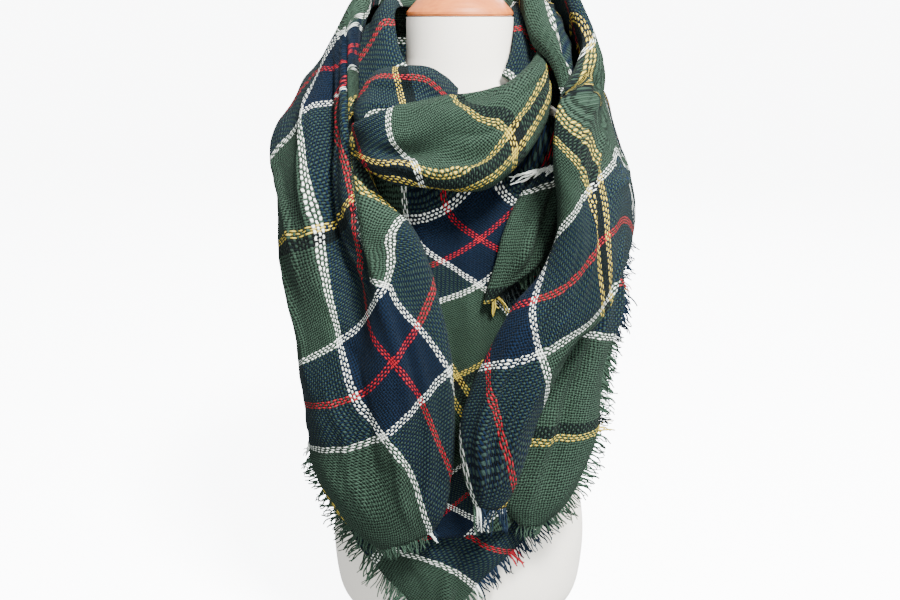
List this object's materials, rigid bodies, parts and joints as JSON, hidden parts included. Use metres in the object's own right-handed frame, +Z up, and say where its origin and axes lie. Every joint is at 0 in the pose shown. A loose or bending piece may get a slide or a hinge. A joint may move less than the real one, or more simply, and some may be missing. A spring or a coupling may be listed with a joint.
{
  "type": "blanket scarf on a limbless dress form",
  "caption": "Square plaid blanket scarf with fringed edges, folded to a triangle and wrapped with both ends forward, on a limbless dress form with a turned neck cap.",
  "frame": {"origin": "centre of the dress form's flat base, on the surface that it stands on", "axes": "+Z up, the wearer's front faces -Y, +X to the right as seen from the front"},
  "size_m": [0.3896, 0.3595, 0.7401],
  "materials": {
    "green_plaid": "woven, soft",
    "navy_plaid": "woven, soft",
    "mixed_plaid": "woven, soft",
    "fringe_yarn": "loose yarn",
    "cream_jersey": "fine knit, taut",
    "turned_wood": "satin varnish"
  },
  "bodies": {
    "root": {"dress_form": "cream_jersey", "neck_cap": "turned_wood", "collar": "mixed_plaid", "point": "green_plaid", "front_panel": "navy_plaid", "corner_tip": "green_plaid", "left_tail": "mixed_plaid", "roll": "mixed_plaid", "swoop": "green_plaid", "neck_fold": "green_plaid", "right_back": "green_plaid", "right_under": "green_plaid", "right_tail": "mixed_plaid", "left_tail_side_fringe": "fringe_yarn", "left_tail_end_fringe": "fringe_yarn", "point_left_fringe": "fringe_yarn", "point_right_fringe": "fringe_yarn", "corner_tip_fringe": "fringe_yarn", "corner_tip_top_fringe": "fringe_yarn", "right_under_side_fringe": "fringe_yarn", "right_under_end_fringe": "fringe_yarn", "right_back_side_fringe": "fringe_yarn", "right_back_end_fringe": "fringe_yarn", "right_tail_end_fringe": "fringe_yarn"}
  },
  "joints": []
}
